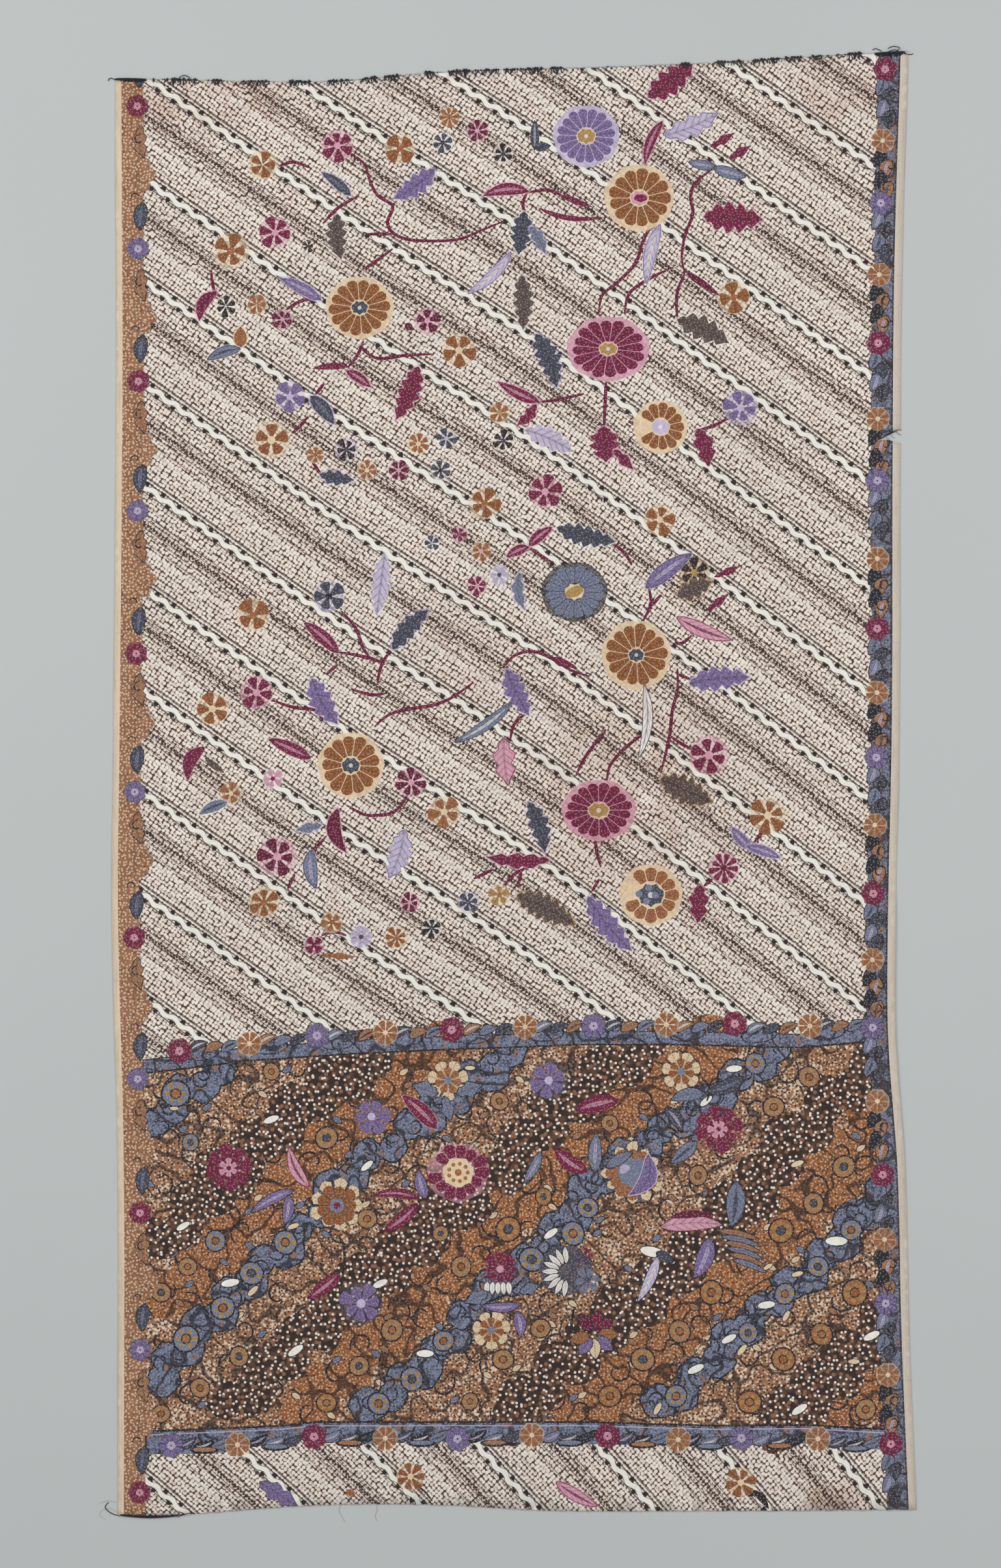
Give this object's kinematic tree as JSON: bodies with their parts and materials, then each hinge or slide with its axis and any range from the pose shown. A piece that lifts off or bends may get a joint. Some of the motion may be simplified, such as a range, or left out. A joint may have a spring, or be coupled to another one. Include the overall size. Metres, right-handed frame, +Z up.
{
  "type": "batik sarong",
  "caption": "Batik sarong cloth lying opened out flat: diagonal striped field with flowers, a denser head panel, side borders, whipped thread over the top end.",
  "frame": {"origin": "middle of the footprint, on the surface that the cloth lies on", "axes": "+Y along the length towards the whipped end, +X across the cloth towards the blue border, +Z up off the surface"},
  "size_m": [1.0942, 1.9968, 0.0032],
  "materials": {
    "batik_cotton": "fine plain-woven cotton, wax-resist dyed in brown, magenta, purple and blue on cream, matt",
    "black_thread": "twisted black sewing thread, matt"
  },
  "bodies": {
    "root": {"cloth_panel": "batik_cotton", "overcast_top": "black_thread", "knot_top_left": "black_thread", "knot_top_right": "black_thread", "knot_bottom_left": "black_thread"}
  },
  "joints": []
}
